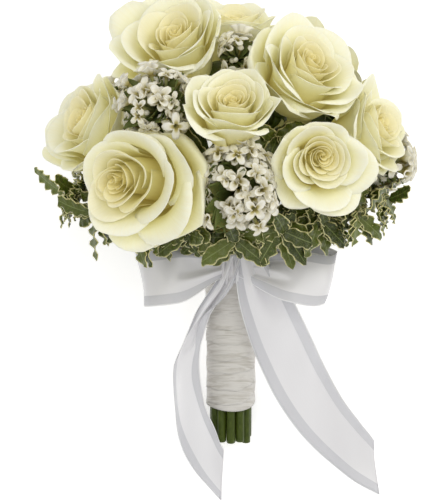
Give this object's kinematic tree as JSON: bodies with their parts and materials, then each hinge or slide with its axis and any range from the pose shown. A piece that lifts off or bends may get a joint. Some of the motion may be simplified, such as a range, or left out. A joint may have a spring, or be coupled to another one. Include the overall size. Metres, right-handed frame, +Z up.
{
  "type": "rose bouquet",
  "caption": "Hand-tied bridal bouquet of cream roses, white bouvardia and variegated pittosporum, its stems wrapped in satin ribbon and tied with a bow, lying on its back.",
  "frame": {"origin": "centre of the bounding box's base, on the surface that the bouquet lies on", "axes": "+Y from the cut stem ends towards the head, +X to the right of the bouquet's face, +Z up from the surface"},
  "size_m": [0.2424, 0.3303, 0.1952],
  "materials": {
    "rose_cream": "soft matte petals, cream with warmer hearts",
    "floret_white": "matte waxy white petals",
    "leaf_green": "satin green leaves with cream margins",
    "stem_green": "smooth green stems",
    "satin_white": "glossy satin ribbon with sheer edges",
    "wrap_white": "satin ribbon, finely creased",
    "tape_green": "matte waxed paper tape"
  },
  "bodies": {
    "root": {"binding_tape": "tape_green", "bouvardia_back": "floret_white", "bouvardia_back_left": "floret_white", "bouvardia_back_left_stem": "stem_green", "bouvardia_back_right": "floret_white", "bouvardia_back_right_stem": "stem_green", "bouvardia_back_stem": "stem_green", "bouvardia_centre": "floret_white", "bouvardia_centre_stem": "stem_green", "bouvardia_left": "floret_white", "bouvardia_left_stem": "stem_green", "bouvardia_right": "floret_white", "bouvardia_right_stem": "stem_green", "bouvardia_top": "floret_white", "bouvardia_top_stem": "stem_green", "handle_wrap": "wrap_white", "pittosporum_back_left": "leaf_green", "pittosporum_back_right": "leaf_green", "pittosporum_front": "leaf_green", "pittosporum_front_left": "leaf_green", "pittosporum_front_middle": "leaf_green", "pittosporum_front_right": "leaf_green", "pittosporum_inner_left": "leaf_green", "pittosporum_inner_right": "leaf_green", "pittosporum_left": "leaf_green", "pittosporum_left_high": "leaf_green", "pittosporum_right": "leaf_green", "pittosporum_right_high": "leaf_green", "pittosporum_right_low": "leaf_green", "ribbon_bow": "satin_white", "rose_back_high": "rose_cream", "rose_back_high_stem": "stem_green", "rose_back_left": "rose_cream", "rose_back_left_stem": "stem_green", "rose_back_right": "rose_cream", "rose_back_right_stem": "stem_green", "rose_centre": "rose_cream", "rose_centre_stem": "stem_green", "rose_front_left": "rose_cream", "rose_front_left_stem": "stem_green", "rose_front_right": "rose_cream", "rose_front_right_stem": "stem_green", "rose_left": "rose_cream", "rose_left_stem": "stem_green", "rose_right": "rose_cream", "rose_right_stem": "stem_green", "rose_top_back": "rose_cream", "rose_top_back_stem": "stem_green", "rose_top_left": "rose_cream", "rose_top_left_stem": "stem_green", "rose_top_right": "rose_cream", "rose_top_right_stem": "stem_green"}
  },
  "joints": []
}
